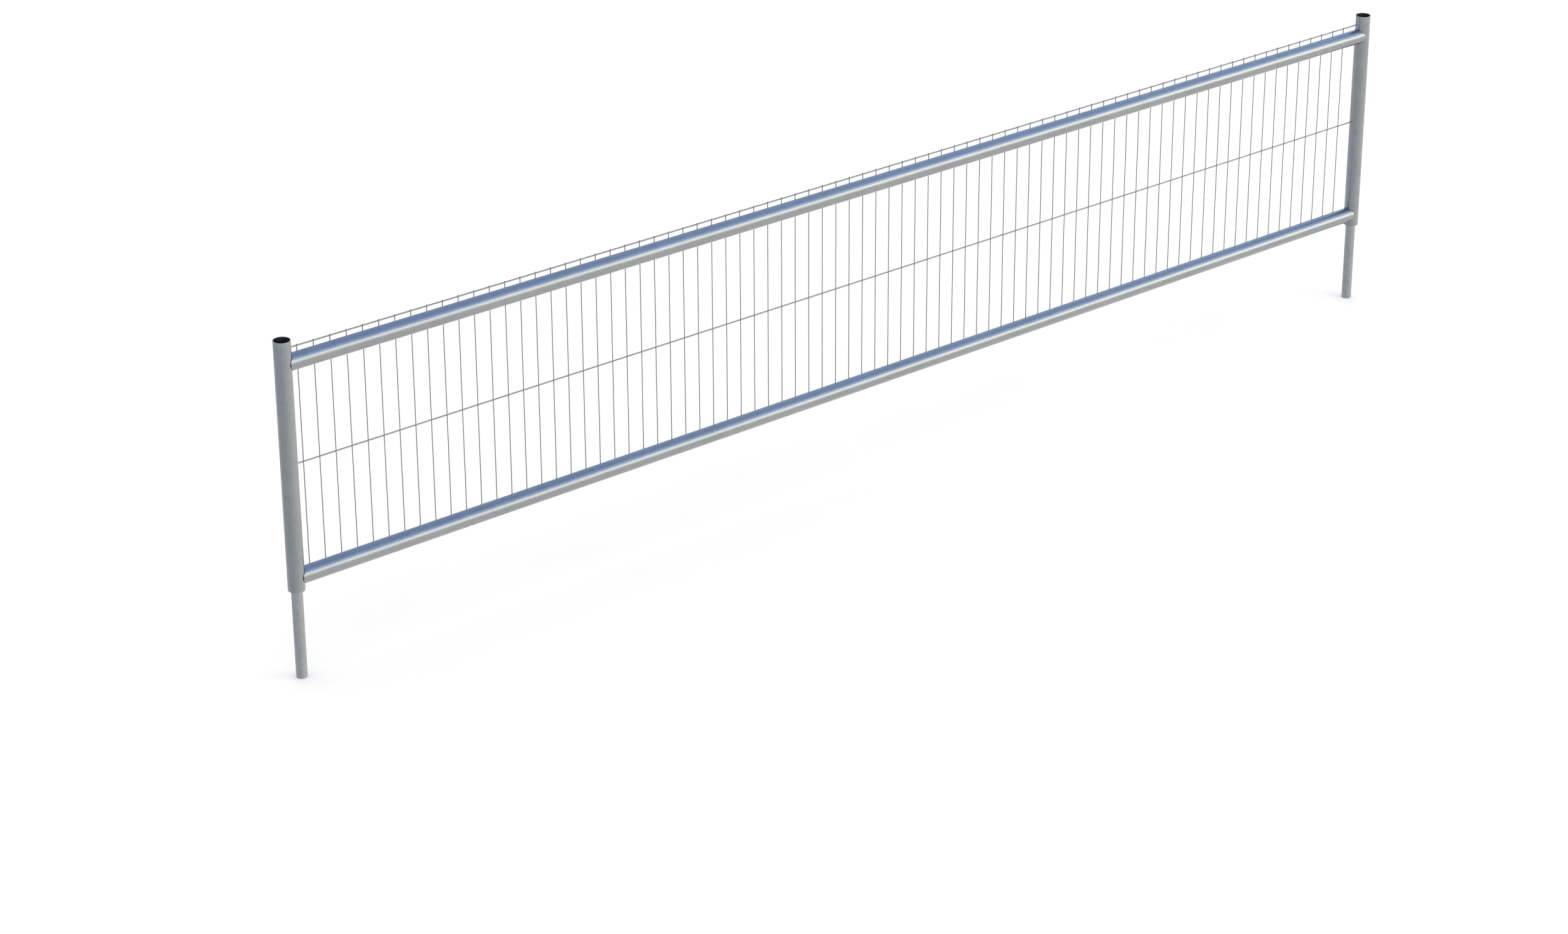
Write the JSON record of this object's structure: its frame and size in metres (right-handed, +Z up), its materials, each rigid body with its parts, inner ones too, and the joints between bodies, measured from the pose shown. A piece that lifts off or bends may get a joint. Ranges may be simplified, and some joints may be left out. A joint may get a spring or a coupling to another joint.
{
  "type": "crowd control barrier",
  "caption": "Low crowd control barrier panel: a welded round tube frame with wire mesh infill, open-topped uprights, and a pin below each upright for a separate foot.",
  "frame": {"origin": "on the left pin's axis, level with the lower ends of the uprights, which rest on the rim of the socket or foot that holds the pin", "axes": "+X along the barrier from the left upright to the right one, +Y to the back, +Z up"},
  "size_m": [3.5, 0.0421, 0.828],
  "materials": {
    "tube_zinc": "hot dip galvanised, satin",
    "pin_zinc": "hot dip galvanised, dull",
    "bush_steel": "galvanised, dull",
    "wire_zinc": "galvanised drawn wire, satin",
    "weld_steel": "galvanised weld bead, dull"
  },
  "bodies": {
    "root": {"bottom_left_weld": "weld_steel", "bottom_rail": "tube_zinc", "bottom_right_weld": "weld_steel", "left_lower_bush": "bush_steel", "left_pin": "pin_zinc", "left_upper_bush": "bush_steel", "left_upright": "tube_zinc", "middle_line_wire": "wire_zinc", "right_lower_bush": "bush_steel", "right_pin": "pin_zinc", "right_upper_bush": "bush_steel", "right_upright": "tube_zinc", "top_left_weld": "weld_steel", "top_line_wire": "wire_zinc", "top_rail": "tube_zinc", "top_right_weld": "weld_steel", "vertical_wires_1": "wire_zinc", "vertical_wires_2": "wire_zinc", "vertical_wires_3": "wire_zinc", "vertical_wires_4": "wire_zinc", "vertical_wires_5": "wire_zinc", "vertical_wires_6": "wire_zinc", "vertical_wires_7": "wire_zinc", "vertical_wires_8": "wire_zinc"}
  },
  "joints": []
}
